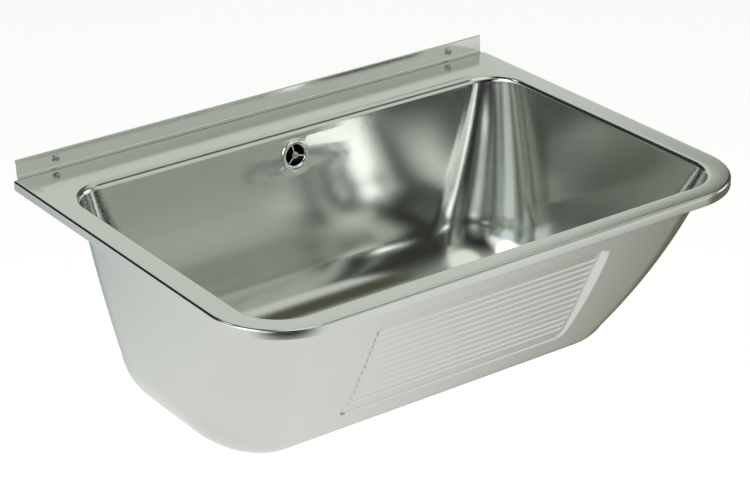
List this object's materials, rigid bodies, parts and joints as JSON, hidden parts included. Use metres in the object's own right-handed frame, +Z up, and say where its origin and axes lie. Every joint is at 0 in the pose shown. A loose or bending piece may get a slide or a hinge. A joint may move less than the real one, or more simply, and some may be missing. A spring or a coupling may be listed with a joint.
{
  "type": "mop service sink",
  "caption": "Wall-hung mop service sink of drawn stainless steel: deep tapered bowl, washboard pressed into the front wall, low rear upstand, overflow, lift-out plug and hanging brackets.",
  "frame": {"origin": "on the wall plane, at the centre of the wall holes of the two hanging brackets", "axes": "+Z up; +Y into the wall, so the bowl stands out towards -Y; +X to the right of a person who faces the wall"},
  "size_m": [0.6, 0.46, 0.294],
  "materials": {
    "stainless": "satin",
    "screw_steel": "polished",
    "chrome": "polished",
    "zinc": "zinc plated",
    "plastic": "moulded",
    "rubber": "matt",
    "brass": "turned"
  },
  "bodies": {
    "sink": {"basin": "stainless", "bracket_left": "zinc", "bracket_right": "zinc", "fixing_screws": "screw_steel", "overflow_ring": "chrome", "overflow_screw": "screw_steel", "overflow_gasket": "rubber", "overflow_elbow": "plastic", "elbow_insert": "brass", "hose_washer_top": "rubber", "hose_nut_top": "plastic", "overflow_hose": "plastic", "hose_washer_low": "rubber", "hose_nut_low": "plastic", "waste_flange": "stainless", "flange_seal": "rubber", "body_seal": "rubber", "waste_body": "plastic", "waste_screw": "screw_steel", "waste_insert": "brass"},
    "plug": {"waste_plug": "stainless", "plug_seal": "rubber", "plug_pull": "chrome"}
  },
  "joints": [
    {"name": "plug_lift", "type": "slide", "parent": "sink", "child": "plug", "axis": [0, 0, 1], "range_m": [0, 0.27]}
  ]
}
